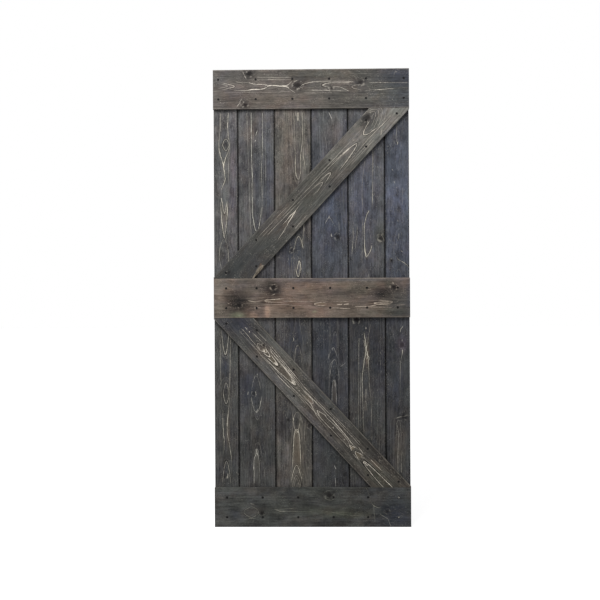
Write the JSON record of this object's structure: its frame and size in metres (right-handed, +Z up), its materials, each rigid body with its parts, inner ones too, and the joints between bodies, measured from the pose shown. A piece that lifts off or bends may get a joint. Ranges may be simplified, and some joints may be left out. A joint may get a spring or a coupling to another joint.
{
  "type": "barn door",
  "caption": "Sliding barn door leaf of tongue-and-groove planks, with flat rails and two diagonal braces screwed across its front in a K pattern.",
  "frame": {"origin": "middle of the bottom edge, halfway across the width and through the thickness", "axes": "+Z up the door as it hangs, +X across it to the right seen from the front, -Y out of the front face that carries the rails"},
  "size_m": [0.9144, 0.035, 2.1336],
  "materials": {
    "plank_stain": "knotty pine, charcoal stain",
    "rail_stain": "knotty pine, brown-grey stain",
    "brace_stain": "knotty pine, brown-grey stain",
    "screw_black": "black phosphate"
  },
  "bodies": {
    "root": {"plank_left_edge": "plank_stain", "plank_2": "plank_stain", "plank_3": "plank_stain", "plank_4": "plank_stain", "plank_5": "plank_stain", "plank_right_edge": "plank_stain", "top_rail": "rail_stain", "middle_rail": "rail_stain", "bottom_rail": "rail_stain", "upper_brace": "brace_stain", "lower_brace": "brace_stain", "top_rail_screws": "screw_black", "middle_rail_screws": "screw_black", "bottom_rail_screws": "screw_black", "upper_brace_screws": "screw_black", "lower_brace_screws": "screw_black"}
  },
  "joints": []
}
